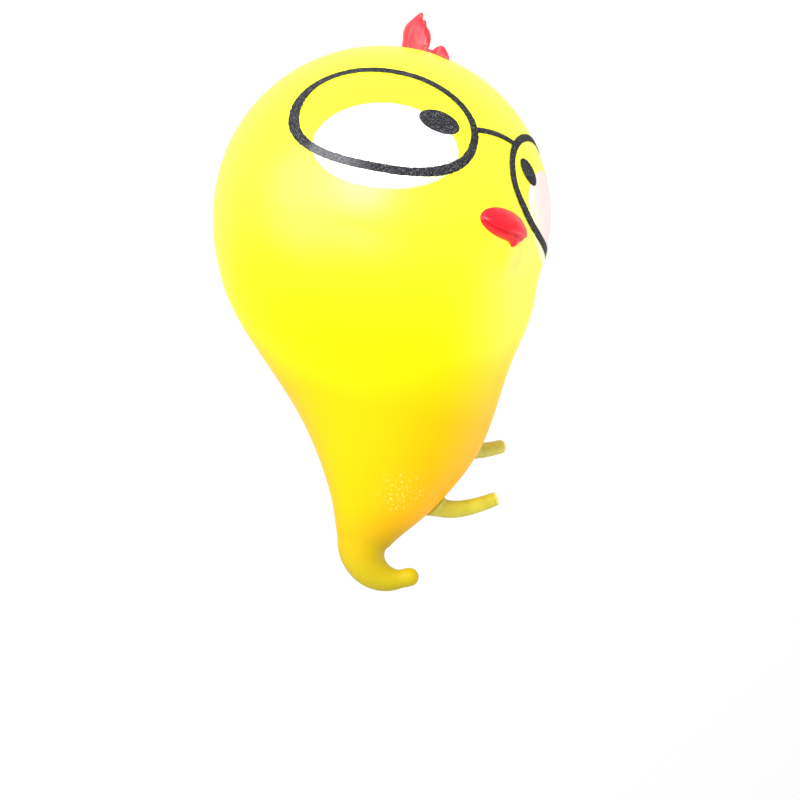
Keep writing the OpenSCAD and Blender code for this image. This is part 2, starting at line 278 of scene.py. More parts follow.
skin = body_form("skin_soft", 0, CURL_TURN, TOE_L, SKIN_FINE, SKIN_SIDES)
for vertex in skin.data.vertices:
    out = (vertex.co - HEAD_CENTRE).normalized()
    rise = swell(vertex.co, beak_on_ball, MOUND_RISE, MOUND_SPREAD)
    rise += swell(vertex.co, chin_on_ball, CHIN_RISE, CHIN_SPREAD)
    vertex.co += out * rise
skin.data.update()
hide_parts("skin")
print("skin:", len(skin.data.vertices), "points")

# %% Find places on the skin
skin_tree = BVHTree.FromPolygons([v.co for v in skin.data.vertices],
                                 [tuple(p.vertices) for p in skin.data.polygons])


def on_skin(direction, lift=0.0):
    """The place where a ray from the head's centre leaves the skin, raised by lift."""
    place, _, _, _ = skin_tree.ray_cast(HEAD_CENTRE, direction)
    return place + direction.normalized() * lift


print("the skin under the beak is", round((on_skin(toward(BEAK_PLACE)) - HEAD_CENTRE).length / MM, 2),
      "mm from the head's centre")

# %% [markdown]
# ## The gel
# The filling never shows, but it is there, and it has to bend with the skin when the head
# nods, or it would poke through. It is the skin's own form drawn in by the wall.

# %% Make the gel filling
GEL_GAP = 0.3 * MM
GEL_FINE, GEL_SIDES = 2, 64
HOLLOW_STOP = 45
gel = body_form("gel_filling", WALL + GEL_GAP, HOLLOW_STOP, 0, GEL_FINE, GEL_SIDES)
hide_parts("filling")
print("gel:", len(gel.data.vertices), "points")

# %% [markdown]
# ## Printed ink
# The glasses and eyes are pad-printed: a thin film of ink that follows the ball. White goes
# down first and black over it. Each film is a thin closed patch, laid on the skin by casting
# rays from the head's centre. The black line's width wavers, because the print was stretched
# with the rubber.

# %% Ink layers and eye places
INK = 0.05 * MM
WHITE_LIFT = 0.04 * MM
BLACK_LIFT = WHITE_LIFT + INK + 0.04 * MM
LINE_W, LINE_FLARE, LENS_SQUARE = 2 * MM, 0.5, 2.2
# lens place and size, white place and size, pupil place and size, as in the CAD source
EYES = {
    "right": {"lens": (-50.9, 30.9, -0.7), "size": (43.6, 27.8), "white": (2.1, -7.8, 7.7),
              "pupil": (12.6, 1.9, -8.3), "pupil_size": (9.8, 6.0)},
    "left": {"lens": (35.3, 16.8, -12.5), "size": (43.6, 25.4), "white": (1.7, -5.6, -1.5),
             "pupil": (-14.9, 1.2, -25.5), "pupil_size": (7.6, 4.9)}}
WHITE_SIZE = (34, 21.6)
WHITE_STEPS, WHITE_ROWS = 160, 12
print("white ink lies", round(WHITE_LIFT / MM, 2), "mm and black ink", round(BLACK_LIFT / MM, 2),
      "mm over the skin")


# %% Ink helpers
def printed(place, x, y, lift):
    """A point of ink, x to the side and y up from a place."""
    return on_skin(along_head(place, x, y), lift)


def waver(x, y, seed, size):
    """Smooth noise from -1 to 1 with bumps of about the given size."""
    return noise.noise(Vector((x / size, y / size, seed * 7.3))) * 1.6


def ease_in(value, low, high):
    """0 below low, 1 above high and a smooth climb between."""
    t = min(1, max(0, (value - low) / (high - low)))
    return t * t * (3 - 2 * t)


def paint(piece, name, values):
    """Store one number per point, for a material to read as an attribute."""
    layer = piece.data.attributes.new(name, "FLOAT", "POINT")
    layer.data.foreach_set("value", values)


print("the print wavers by", [round(waver(x * MM, 0, 3, 0.6 * MM), 2) for x in range(4)])

# %% [markdown]
# ## Ovals of ink
# The whites and the pupils are ovals. Each is two discs of rings, one on each face of the ink,
# joined at the rim. The white has faded where its lower edge is stretched most.


# %% Oval print
def oval_print(name, place, size, lift, seed, fade):
    """A patch of ink. Its lower edge thins out by fade, which the point numbers record."""
    steps, rows = WHITE_STEPS, WHITE_ROWS
    width, height = size[0] * MM, size[1] * MM
    rings, thin = [], [0.0]
    for k, level in [(k, lift) for k in range(1, rows + 1)] + \
                    [(k, lift + INK) for k in range(rows, 0, -1)]:
        ring = []
        for i in range(steps):
            a = -2 * pi * i / steps
            x, y = width / 2 * cos(a), height / 2 * sin(a)
            rough = 1 + 0.008 * waver(x, y, seed, 0.6 * MM)
            ring.append(printed(place, x * k / rows * rough, y * k / rows * rough, level))
            thin.append(fade * ease_in(k / rows, 0.6, 1) * ease_in(-sin(a), -0.1, 0.6))
        rings.append(ring)
    middle = [printed(place, 0, 0, lift + up) for up in (0, INK)]
    patch = make_piece(name, *loft(middle[0], rings, middle[1]))
    paint(patch, "thin_ink", thin + [0.0])
    return patch


print("a white is", WHITE_SIZE[0], "by", WHITE_SIZE[1], "mm, from a rim of", WHITE_STEPS, "points")

# %% [markdown]
# ## Lines of ink
# The glasses are ribbons of ink. A lens is squarer than an oval, so its outline is a
# superellipse. Its line is widest at the outer end, where the print was pulled.


# %% Lens line
def ribbon(name, rows, closed):
    """A closed strip: each row is its points across, low face first and then high face back."""
    n, m = len(rows), len(rows[0])
    points = [p for row in rows for p in row]
    faces = []
    for i in range(n if closed else n - 1):
        a, b = i * m, ((i + 1) % n) * m
        faces += [(a + k, a + (k + 1) % m, b + (k + 1) % m, b + k) for k in range(m)]
    if not closed:
        faces += [tuple(range(m)), tuple(range(n * m - 1, n * m - m - 1, -1))]
    return make_piece(name, points, faces)


def power(value, exponent):
    """A power that keeps the sign, for the outline of a lens."""
    return copysign(abs(value) ** exponent, value)


def lens_outline(size, a):
    """A point of a lens outline and the way out of it, square to the line."""
    p = 2 / LENS_SQUARE
    point = (size[0] / 2 * power(cos(a), p) * MM, size[1] / 2 * power(sin(a), p) * MM)
    nx, ny = power(cos(a), 2 - p) / size[0], power(sin(a), 2 - p) / size[1]
    return point, (nx / hypot(nx, ny), ny / hypot(nx, ny))


RIM_STEPS = 560
CORNER_AT, CORNER_SPREAD, CORNER_SWELL = 0.75, 0.2, 0.22
TOP_THINNING = 0.08
# where the line crosses the white, counted along the lens from its middle to its outer end
THIN_FROM, THIN_FULL, DENSE_AGAIN = (-0.1, 0.35), 0.62, 0.72


def rim(name, place, size, side, seed):
    """A lens line. It flares at the outer end, and its ink is thin where it crosses the white."""
    steps, rows, thin = RIM_STEPS, [], []
    for i in range(steps):
        a = 2 * pi * i / steps
        (x, y), (nx, ny) = lens_outline(size, a)
        outer, inner = max(0, side * cos(a)), max(0, -side * cos(a))
        corner = exp(-((inner - CORNER_AT) / CORNER_SPREAD) ** 2) if sin(a) < 0 else 0
        half = LINE_W / 2 * (1 + LINE_FLARE * outer ** 6 + CORNER_SWELL * corner
                             - TOP_THINNING * max(0, sin(a)))
        edges = [half * (1 + 0.09 * waver(x, y, seed + k, 0.5 * MM)) for k in (0, 1)]
        across = [-edges[0], -edges[0] / 3, edges[1] / 3, edges[1]]
        low = [printed(place, x + nx * s, y + ny * s, BLACK_LIFT) for s in across]
        high = [printed(place, x + nx * s, y + ny * s, BLACK_LIFT + INK) for s in across[::-1]]
        rows.append(low + high)
        along = side * cos(a)
        on_white = 0
        if sin(a) < 0:
            on_white = ease_in(along, *THIN_FROM) * ease_in(-along, -DENSE_AGAIN, -THIN_FULL)
        thin += [on_white] * 8
    line = ribbon(name, rows, True)
    paint(line, "thin_ink", thin)
    return line


print("a lens line is", round(LINE_W / MM, 1), "mm wide, and", round(LINE_W * (1 + LINE_FLARE) / MM, 1),
      "mm at its outer end")

# %% [markdown]
# ## Both eyes
# Each eye has its own sizes, so one loop prints the white, then the pupil, then the line.

# %% Print the eyes and the glasses
prints = {}
for word, side, seed in (("left", 1, 3), ("right", -1, 8)):
    eye_set = EYES[word]
    lens_place = eye_set["lens"]
    white = oval_print(f"eye_white_{word}_print", stepped(lens_place, eye_set["white"]),
                       WHITE_SIZE, WHITE_LIFT, seed, 1)
    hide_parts(f"eye_white_{word}")
    pupil = oval_print(f"pupil_{word}_print", stepped(lens_place, eye_set["pupil"]),
                       eye_set["pupil_size"], BLACK_LIFT, seed + 20, 0)
    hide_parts(f"pupil_{word}")
    line = rim(f"rim_{word}_print", lens_place, eye_set["size"], side, seed + 40)
    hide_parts(f"rim_{word}")
    prints[word] = (white, pupil, line)
    print(word, "eye:", sum(len(film.data.vertices) for film in prints[word]), "points")

# %% [markdown]
# ## Bridge
# The bridge is a thin arched ribbon between the two lens lines.

# %% Print the bridge
BRIDGE_AT, BRIDGE_RISE, BRIDGE_HALF = 32, 0.7 * MM, LINE_W * 0.36


def lens_edge(word, a):
    """The direction of a point on a lens outline, at angle a in degrees."""
    (x, y), _ = lens_outline(EYES[word]["size"], radians(a))
    return along_head(EYES[word]["lens"], x, y)


bridge_from, bridge_to = lens_edge("right", BRIDGE_AT / 2), lens_edge("left", 180 - BRIDGE_AT)
rows, steps = [], 60
for i in range(steps + 1):
    t = i / steps
    middle = (bridge_from.lerp(bridge_to, t) + UP * BRIDGE_RISE / HEAD_R * 4 * t * (1 - t)).normalized()
    across = middle.cross(bridge_to - bridge_from).normalized()
    half = BRIDGE_HALF * (1 + 0.12 * waver(t * 20 * MM, 0, 60, 0.5 * MM)) / HEAD_R
    spread = [(middle + across * half * s).normalized() for s in (-1, -1 / 3, 1 / 3, 1)]
    rows.append([on_skin(d, BLACK_LIFT) for d in spread]
                + [on_skin(d, BLACK_LIFT + INK) for d in spread[::-1]])
bridge = ribbon("bridge_print", rows, False)
paint(bridge, "thin_ink", [0.0] * len(bridge.data.vertices))
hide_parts("bridge")
print("prints:", sum(len(p) for p in prints.values()) + 1, "films of ink")

# %% [markdown]
# ## Beak
# The beak is a short red mouth: a full upper half that slopes out to an overhanging edge, and
# a thin lower lip under it, with a run of lacquer at one side. Slices from corner to corner,
# each with its own profile from the top edge over the overhang to the lower edge, keep the
# mouth line crisp, which a single smooth mound would lose.

# %% Size and direction of the beak
BEAK_W, BEAK_H, BEAK_OUT = 16 * MM, 7.2 * MM, 3.45 * MM
beak_turn = Matrix.Rotation(radians(BEAK_PLACE[0]), 3, "Z") @ \
    Matrix.Rotation(radians(-BEAK_PLACE[1]), 3, "X") @ \
    Matrix.Rotation(radians(-BEAK_PLACE[2]), 3, "Y")
beak_out = beak_turn @ Vector((0, -1, 0))
print("the beak points along", [round(c, 3) for c in beak_out])


# %% Slices of the beak
def beak_point(x, z, height):
    """A point of the beak, raised from the skin below it."""
    foot = on_skin((beak_turn @ Vector((x, -HEAD_R, z))).normalized(), -0.4 * MM)
    return foot + beak_out * height


def beak_slice(t):
    """One slice of the beak at t from -1 to 1 between its corners."""
    x, full = BEAK_W / 2 * t, sqrt(1 - abs(t) ** 2.3)
    run = 1.1 * MM * exp(-((x - 3.4 * MM) / (0.9 * MM)) ** 2)
    top, bottom = 0.52 * BEAK_H * full, -0.46 * BEAK_H * full - run
    mouth = bottom + (0.26 * BEAK_H * full + 0.9 * run)
    out, lip = BEAK_OUT * full ** 0.9, 0.62 * BEAK_OUT * full ** 0.9
    upper = [(top + (mouth - top) * u, out * sin(u * pi / 2) ** 0.75)
             for u in (0, 0.04, 0.1, 0.18, 0.28, 0.4, 0.52, 0.64, 0.76, 0.88, 0.96)]
    edge = [(mouth - 0.12 * MM, 0.96 * out), (mouth - 0.2 * MM, 0.86 * out),
            (mouth - 0.05 * MM, 0.72 * out)]
    lower = [(mouth + (bottom - mouth) * u, lip * sqrt(max(0, 1 - (1.6 * (u - 0.38)) ** 2)))
             for u in (0.12, 0.25, 0.4, 0.55, 0.7, 0.85, 0.95)] + [(bottom, 0)]
    front = [beak_point(x, z, height) for z, height in upper + edge + lower]
    behind = [beak_point(x, bottom + (top - bottom) * u, 0) for u in (0.25, 0.5, 0.75)]
    return front + behind


print("a slice of the beak has", len(beak_slice(0)), "points")

# %% Make the beak
slices = 72
rows = [beak_slice(-cos(pi * i / slices)) for i in range(1, slices)]
beak = make_piece("beak_lips", *loft(beak_point(-BEAK_W / 2, 0, 0), rows,
                                     beak_point(BEAK_W / 2, 0, 0)))
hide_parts("beak")
print("beak:", len(beak.data.vertices), "points")

# %% [markdown]
# ## Comb
# The comb is a softer red rubber with a tall onion lobe, a small lobe in front and a thin web
# between them. The tall lobe ends in a torn tip, where the moulding was pulled off its sprue.
# Solid blobs are joined by a voxel remesh, which welds them with soft valleys as rubber has.

# %% Lobes of the comb
COMB_PITCH = 9.2 * MM


def crown_place(forward, height, sideways=0.0):
    """A place above the crown: forward along the ball, and up from it."""
    return HEAD_CENTRE + Matrix.Rotation(forward / HEAD_R, 3, "X") @ \
        Vector((sideways, 0, HEAD_R + height))


def lobe(forward, stations, seed):
    """A lobe of rings; a station is (height, length along the comb, thickness, shift)."""
    rows = []
    for height, length, thick, shift in stations:
        row = []
        for i in range(40):
            a = 2 * pi * i / 40
            rough = 1 + 0.10 * noise.noise(Vector((3 * cos(a), 3 * sin(a) + seed, height / MM)))
            row.append(crown_place(forward - (shift + length / 2 * cos(a) * rough) * MM,
                                   height * MM, thick / 2 * sin(a) * rough * MM))
        rows.append(row)
    low, high = stations[0], stations[-1]
    return loft(crown_place(forward - low[3] * MM, low[0] * MM - 0.1 * MM), rows,
                crown_place(forward - high[3] * MM, high[0] * MM + 0.15 * MM))


print("the comb's lobes are", round(COMB_PITCH / MM, 1), "mm apart")

# %% Make the comb
tall = [(-0.9, 7.6, 2.6, 0), (0.0, 8.0, 3.1, -0.2), (1.5, 8.3, 3.4, -0.3), (3.0, 8.2, 3.4, -0.2),
        (4.4, 7.6, 3.2, 0.1), (5.4, 6.6, 2.9, 0.4), (6.2, 5.0, 2.5, 0.6), (6.9, 3.6, 2.1, 0.6),
        (7.4, 2.6, 1.8, 0.5), (7.9, 2.0, 1.5, 0.4), (8.4, 1.4, 1.2, 0.1), (8.8, 0.9, 0.9, -0.1),
        (9.0, 0.6, 0.6, -0.1)]
small = [(-0.9, 5.6, 1.8, 0), (0.2, 6.2, 2.1, 0), (0.8, 5.4, 2.1, 0.1), (1.4, 4.0, 1.8, 0.3),
         (1.9, 2.6, 1.4, 0.4), (2.3, 1.2, 0.9, 0.4)]
web = [(-0.9, 9.5, 1.4, 0), (0.1, 9.0, 1.3, 0), (0.7, 8.0, 1.0, 0)]
shard = [(5.9, 1.2, 1.0, 0), (6.8, 1.0, 0.8, 0.1), (7.3, 0.6, 0.4, 0.2)]
points, faces = [], []
for forward, stations, seed in ((0, tall, 1), (COMB_PITCH, small, 2), (COMB_PITCH / 2, web, 3),
                                (1.6 * MM, shard, 4)):
    new_points, new_faces = lobe(forward, stations, seed)
    faces += [tuple(i + len(points) for i in face) for face in new_faces]
    points += new_points
comb = make_piece("comb_rubber", points, faces)
weld = comb.modifiers.new("weld", "REMESH")
weld.mode = "VOXEL"
weld.voxel_size = 0.16 * MM
ease = comb.modifiers.new("ease", "SMOOTH")
ease.factor, ease.iterations = 0.6, 3
bpy.context.view_layer.update()
welded = bpy.data.meshes.new_from_object(comb.evaluated_get(bpy.context.evaluated_depsgraph_get()))
comb.modifiers.clear()
comb.data = welded
for polygon in comb.data.polygons:
    polygon.use_smooth = True
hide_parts("comb")
print("comb:", len(comb.data.vertices), "points")

# %% [markdown]
# ## Legs
# Each leg is a soft peg moulded with the skin, thick at the root and cut flat at the end. It
# leaves the body square to the wall and is bent up between the fingers. Its root flares
# into the skin, as a moulded root does.

# %% Make the legs
LEG_L, LEG_D, LEG_END_D = 16 * MM, 4.8 * MM, 3.3 * MM
KNEE_SHARE, REACH_SHARE = 0.3, 0.92
ROOT_FLARE, ROOT_REACH = 1.2 * MM, 2.4 * MM
LEFT_LEG_DIR, LEFT_LEG_RISE = 40, 1.5 * MM
RIGHT_LEG_DIR, RIGHT_LEG_RISE = 14, 4 * MM


def around(angle):
    """The level direction at an angle around the body, counted from the lean."""
    return cos(radians(angle)) * LEAN + sin(radians(angle)) * BACK


def make_leg(word, ring, angle, slope, rise):
    """A leg from a ring of the body, square to the wall's slope at its root and then bent up."""
    out = cos(slope) * around(angle) - sin(slope) * UP
    root = LEAN * ring[0] + UP * ring[1] + around(angle) * ring[2]
    knee = root + out * LEG_L * KNEE_SHARE
    tip = root + around(angle) * LEG_L * REACH_SHARE + UP * rise
    side = out.cross(UP).normalized()
    rows, steps, sides = [], 30, 40
    for i in range(-2, steps + 1):
        t = max(0, i / steps)
        place = (1 - t) ** 2 * root + 2 * t * (1 - t) * knee + t * t * tip
        ahead = ((1 - t) * (knee - root) + t * (tip - knee)).normalized()
        place += ahead * min(0, i) * 0.5 * MM
        over = side.cross(ahead).normalized()
        radius = LEG_D / 2 + (LEG_END_D - LEG_D) / 2 * t
        radius += ROOT_FLARE * max(0, 1 - (place - root).length / ROOT_REACH) ** 2
        rows.append([place + radius * (cos(a) * ahead.cross(over) + sin(a) * over)
                     for a in (2 * pi * j / sides for j in range(sides))])
    # the rings at the leg's flat end are marked for a painted highlight along its rim
    pale = [0.0] * (1 + sides * (len(rows) - 1)) + [1.0] * sides
    end_face = ((0.93, 0.05), (0.8, 0.08), (0.6, 0.02), (0.3, 0.0))
    for share, proud in end_face:
        rows.append([tip + ahead * proud * MM + (p - tip) * share for p in rows[steps + 2]])
        pale += [share > 0.7] * sides
    leg = make_piece(f"leg_{word}_peg", *loft(root - out * MM, rows, tip))
    paint(leg, "cut_end", pale + [0.0])
    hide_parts(f"leg_{word}")
    return leg, root, out


waist_slope = atan2(SHOULDER[2] - WRIST[2], SHOULDER[1] - WRIST[1])
wrist_slope = atan2(WAIST[2] - TAIL[2], -TAIL[1])
leg_left, left_root, left_out = make_leg("left", WAIST, LEFT_LEG_DIR, waist_slope,
                                        LEFT_LEG_RISE)
leg_right, right_root, right_out = make_leg("right", WRIST, RIGHT_LEG_DIR, wrist_slope,
                                           RIGHT_LEG_RISE)
print("legs:", round(LEG_L / MM, 1), "mm long, with roots at",
      [[round(c / MM, 1) for c in root] for root in (left_root, right_root)], "mm")

# %% [markdown]
# ## Plug
# A short rubber plug closes the hole that the bag was filled through. It is turned stock: a
# flat disc with an eased edge, seen as a small round button on the back of the waist.

# %% Make the plug
PLUG_D = 6 * MM
plug_out = cos(waist_slope) * BACK - sin(waist_slope) * UP
plug_face = LEAN * WAIST[0] + BACK * WAIST[2]
plug_side = plug_out.cross(UP).normalized()
plug_up = plug_side.cross(plug_out)
rows = []
for radius, height in ((1.0, -1.2), (1.0, 0.25), (0.97, 0.42), (0.9, 0.5), (0.6, 0.52),
                       (0.56, 0.44), (0.5, 0.42)):
    rows.append([plug_face + plug_out * height * MM + PLUG_D / 2 * radius
                 * (cos(a) * plug_side + sin(a) * plug_up)
                 for a in (2 * pi * j / 64 for j in range(64))])
plug = make_piece("fill_plug_button", *loft(plug_face - plug_out * 1.2 * MM, rows,
                                            plug_face + plug_out * 0.42 * MM))
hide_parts("fill_plug")
print("plug:", round(PLUG_D / MM, 1), "mm across, with", len(plug.data.vertices), "points")

# %% [markdown]
# ## Materials
# One function adds a node with its settings and links. Colours are written as sRGB hex, as a
# paint maker quotes them, and one function turns them to the linear values Blender uses.

# %% Colour and node helpers
def colour(hexes):
    """An sRGB hex colour as linear red, green, blue and alpha."""
    parts = [int(hexes[i:i + 2], 16) / 255 for i in (0, 2, 4)]
    return tuple(c / 12.92 if c <= 0.04045 else ((c + 0.055) / 1.055) ** 2.4
                 for c in parts) + (1.0,)


def add(tree, kind, settings=None, stops=(), **inputs):
    """Add a node, set its properties and colour stops, and fill its inputs."""
    node = tree.nodes.new(kind)
    for key, value in (settings or {}).items():
        setattr(node, key, value)
    for key, value in inputs.items():
        socket = node.inputs[int(key[1:])] if key[0] == "i" and key[1:].isdigit() \
            else node.inputs[key.replace("_", " ")]
        if isinstance(value, bpy.types.NodeSocket):
            tree.links.new(value, socket)
        else:
            socket.default_value = value
    for k, (position, value) in enumerate(stops):
        if k > 1:
            node.color_ramp.elements.new(position)
        node.color_ramp.elements[k].position = position
        node.color_ramp.elements[k].color = value
    return node


def new_material(name):
    material = bpy.data.materials.new(name)
    material.use_nodes = True
    material.node_tree.nodes.clear()
    return material, material.node_tree


def per_mm(size):
    """Texture scale whose features are about this many millimetres across."""
    return 1 / (size * MM)


print("lemon yellow in linear values:", [round(c, 3) for c in colour("FFF000")[:3]])

# %% [markdown]
# ## Yellow rubber
# The skin is thermoplastic rubber, moulded and filled tight. Where the ball is stretched it
# is a clean lemon yellow; down in the fist the rubber is thicker and turns golden, and the
# unfilled toe is a dull greenish yellow. That colour is partly the thicker rubber's deeper
# tone and partly painted shade of the fist that held it. The chin under the beak carries a
# painted shade. The surface is satin, with a fine grain from the mould, a rubbed patch above
# the thumb and faint dust.

# %% Stains and a painted shade
def stain_and_shade(tree, under, over, strength, place, centre, inner, outer, grain=1.0):
    """Tint a colour inside a ball around a point, fading from radius inner to radius outer."""
    far = add(tree, "ShaderNodeVectorMath", {"operation": "DISTANCE"}, i0=place, i1=tuple(centre))
    inside = add(tree, "ShaderNodeMapRange", {"interpolation_type": "SMOOTHSTEP"},
                 Value=far.outputs["Value"], From_Min=outer, From_Max=inner, To_Max=strength)
    share = add(tree, "ShaderNodeMath", {"operation": "MULTIPLY"}, i0=inside.outputs[0], i1=grain)
    return add(tree, "ShaderNodeMix", {"data_type": "RGBA"}, Factor=share.outputs[0], i6=under,
               i7=over).outputs[2]


# the chin patch is a painted shade under the beak; the rubbed patch and the dust are marks on the
# rubber
print("stains: a chin, a rubbed patch and dust")


# %% Make the yellow rubber
def yellow_rubber():
    material, tree = new_material("yellow_moulded_rubber")
    place = add(tree, "ShaderNodeTexCoord").outputs["Object"]
    height = add(tree, "ShaderNodeSeparateXYZ", Vector=place).outputs["Z"]
    drift = add(tree, "ShaderNodeTexNoise", Vector=place, Scale=per_mm(28), Detail=2.0)
    level = add(tree, "ShaderNodeMath", {"operation": "MULTIPLY_ADD"},
                i0=drift.outputs["Fac"], i1=4 * MM, i2=height)
    share = add(tree, "ShaderNodeMapRange", Value=level.outputs[0],
                From_Min=-35 * MM, From_Max=65 * MM).outputs[0]
    # painted shade: the yellow darkens to gold and a dull greenish yellow toward the bottom, standing
    # in for the fist's shade as well as the thicker rubber's tone
    tint = add(tree, "ShaderNodeValToRGB", Fac=share, stops=[
        (0.0, colour("A89816")), (0.1, colour("B8980C")), (0.18, colour("E8A600")),
        (0.3, colour("F0AC00")), (0.42, colour("F8B000")), (0.56, colour("FCCC00")),
        (0.7, colour("FFF000")), (1.0, colour("FFF814"))]).outputs["Color"]
    # painted shade under the beak: an orange patch on the chin
    tint = stain_and_shade(tree, tint, colour("F0A000"), 0.5, place,
                 HEAD_CENTRE + HEAD_R * toward((7, -10, 0)), 1 * MM, 8 * MM)
    # the rubbed patch: short pale scuffs, each under a millimetre across
    scuffs = add(tree, "ShaderNodeTexNoise", Vector=place, Scale=per_mm(0.7), Detail=5.0,
                 Distortion=1.2)
    scuffs = add(tree, "ShaderNodeMapRange", Value=scuffs.outputs["Fac"],
                 From_Min=0.56, From_Max=0.68)
    tint = stain_and_shade(tree, tint, colour("FFE89A"), 0.45, place,
                 LEAN * 17 * MM + UP * -13 * MM - BACK * 12 * MM, 2 * MM, 9 * MM,
                 scuffs.outputs[0])
    # dust: a pale speck in a few cells, which are about six millimetres apart
    dust = add(tree, "ShaderNodeTexVoronoi", Vector=place, Scale=per_mm(6))
    speck = add(tree, "ShaderNodeMapRange", Value=dust.outputs["Distance"],
                From_Min=0.05, From_Max=0.03)
    rare = add(tree, "ShaderNodeMath", {"operation": "GREATER_THAN"},
               i0=dust.outputs["Color"], i1=0.86)
    dusty = add(tree, "ShaderNodeMath", {"operation": "MULTIPLY"}, i0=speck.outputs[0],
                i1=rare.outputs[0])
    tint = stain_and_shade(tree, tint, colour("E8D89A"), 0.6, place, HEAD_CENTRE, 80 * MM, 90 * MM,
                 dusty.outputs[0])
    # stretched rubber has a sheen, slack rubber has little
    sheen = add(tree, "ShaderNodeMapRange", {"interpolation_type": "SMOOTHSTEP"}, Value=share,
                From_Min=0.52, From_Max=0.92, To_Min=0.08, To_Max=0.7)
    pores = add(tree, "ShaderNodeTexNoise", Vector=place, Scale=per_mm(2.2), Detail=4.0)
    dull = add(tree, "ShaderNodeMapRange", Value=pores.outputs["Fac"], To_Min=0.33, To_Max=0.43)
    # the mould's grain, drawn a little coarser than real so that it shows
    grain = add(tree, "ShaderNodeTexNoise", Vector=place, Scale=per_mm(0.35), Detail=3.0)
    bump = add(tree, "ShaderNodeBump", Height=grain.outputs["Fac"], Strength=0.12,
               Distance=0.02 * MM)
    shader = add(tree, "ShaderNodeBsdfPrincipled", Base_Color=tint, Roughness=dull.outputs[0],
                 IOR=1.5, Specular_IOR_Level=sheen.outputs[0], Normal=bump.outputs[0],
                 Subsurface_Weight=0.25, Subsurface_Scale=3 * MM)
    shader.inputs["Subsurface Radius"].default_value = (1.0, 0.7, 0.05)
    add(tree, "ShaderNodeOutputMaterial", Surface=shader.outputs[0])
    return material


def give(piece, material):
    piece.data.materials.clear()
    piece.data.materials.append(material)


give(skin, yellow_rubber())
print("yellow rubber:", len(skin.active_material.node_tree.nodes), "nodes")

# %% [markdown]
# ## Red rubber and red lacquer
# The comb is a translucent soft red rubber that takes light through its thin edges. The beak
# is moulded in the skin and sprayed with a glossier red lacquer.

# %% Make the reds
def red_rubber():
    material, tree = new_material("red_comb_rubber")
    place = add(tree, "ShaderNodeTexCoord").outputs["Object"]
    streaks = add(tree, "ShaderNodeMapping", Vector=place)
    streaks.inputs["Scale"].default_value = (1, 1, 0.15)
    cloudy = add(tree, "ShaderNodeTexNoise", Vector=streaks.outputs[0], Scale=per_mm(1.1),
                 Detail=3.0)
    tint = add(tree, "ShaderNodeValToRGB", Fac=cloudy.outputs["Fac"], stops=[
        (0.3, colour("C01824")), (0.5, colour("DA2632")), (0.7, colour("EC4852"))])
    bump = add(tree, "ShaderNodeBump", Height=cloudy.outputs["Fac"], Strength=0.35,
               Distance=0.15 * MM)
    shader = add(tree, "ShaderNodeBsdfPrincipled", Base_Color=tint.outputs["Color"],
                 Roughness=0.38, IOR=1.5, Normal=bump.outputs[0], Subsurface_Weight=0.35,
                 Subsurface_Scale=1.5 * MM)
    shader.inputs["Subsurface Radius"].default_value = (1.0, 0.25, 0.2)
    add(tree, "ShaderNodeOutputMaterial", Surface=shader.outputs[0])
    return material


def red_lacquer():
    material, tree = new_material("red_beak_lacquer")
    place = add(tree, "ShaderNodeTexCoord").outputs["Object"]
    patchy = add(tree, "ShaderNodeTexNoise", Vector=place, Scale=per_mm(1.6), Detail=4.0)
    tint = add(tree, "ShaderNodeValToRGB", Fac=patchy.outputs["Fac"], stops=[
        (0.3, colour("C80A1C")), (0.55, colour("DE1026")), (0.8, colour("EC2434"))])
    peel = add(tree, "ShaderNodeTexNoise", Vector=place, Scale=per_mm(0.5), Detail=2.0)
    bump = add(tree, "ShaderNodeBump", Height=peel.outputs["Fac"], Strength=0.2,
               Distance=0.05 * MM)
    shader = add(tree, "ShaderNodeBsdfPrincipled", Base_Color=tint.outputs["Color"],
                 Roughness=0.28, IOR=1.5, Specular_IOR_Level=0.3, Normal=bump.outputs[0],
                 Subsurface_Weight=0.1, Subsurface_Scale=1.0 * MM)
    add(tree, "ShaderNodeOutputMaterial", Surface=shader.outputs[0])
    return material


give(comb, red_rubber())
give(beak, red_lacquer())
print("reds:", comb.active_material.name, "and", beak.active_material.name)

# %% [markdown]
# ## Inks
# The black is a matt screen ink that has cracked as the rubber stretched, so light specks
# show through it. The white is a thin satin ink that lets a little yellow through. On the
# toy's left eye the white is a little pinker, which is a painted pink reflection.

# %% Make the inks
def black_ink():
    material, tree = new_material("black_stretched_ink")
    place = add(tree, "ShaderNodeTexCoord").outputs["Object"]
    # the cracks are drawn a little coarser than real so that they show
    cracks = add(tree, "ShaderNodeTexNoise", Vector=place, Scale=per_mm(0.32), Detail=3.0,
                 Roughness=0.7)
    dense = add(tree, "ShaderNodeValToRGB", Fac=cracks.outputs["Fac"], stops=[
        (0.38, colour("121214")), (0.52, colour("26262A")), (0.62, colour("55555A")),
        (0.72, colour("88888E"))])
    thin = add(tree, "ShaderNodeValToRGB", Fac=cracks.outputs["Fac"], stops=[
        (0.35, colour("3C3C40")), (0.65, colour("6E6E72"))])
    stretch = add(tree, "ShaderNodeAttribute", {"attribute_name": "thin_ink"})
    tint = add(tree, "ShaderNodeMix", {"data_type": "RGBA"}, Factor=stretch.outputs["Fac"],
               i6=dense.outputs["Color"], i7=thin.outputs["Color"]).outputs[2]
    bump = add(tree, "ShaderNodeBump", Height=cracks.outputs["Fac"], Strength=0.4,
               Distance=0.03 * MM)
    shader = add(tree, "ShaderNodeBsdfPrincipled", Base_Color=tint, Roughness=0.7, IOR=1.48,
                 Specular_IOR_Level=0.1, Normal=bump.outputs[0])
    add(tree, "ShaderNodeOutputMaterial", Surface=shader.outputs[0])
    return material


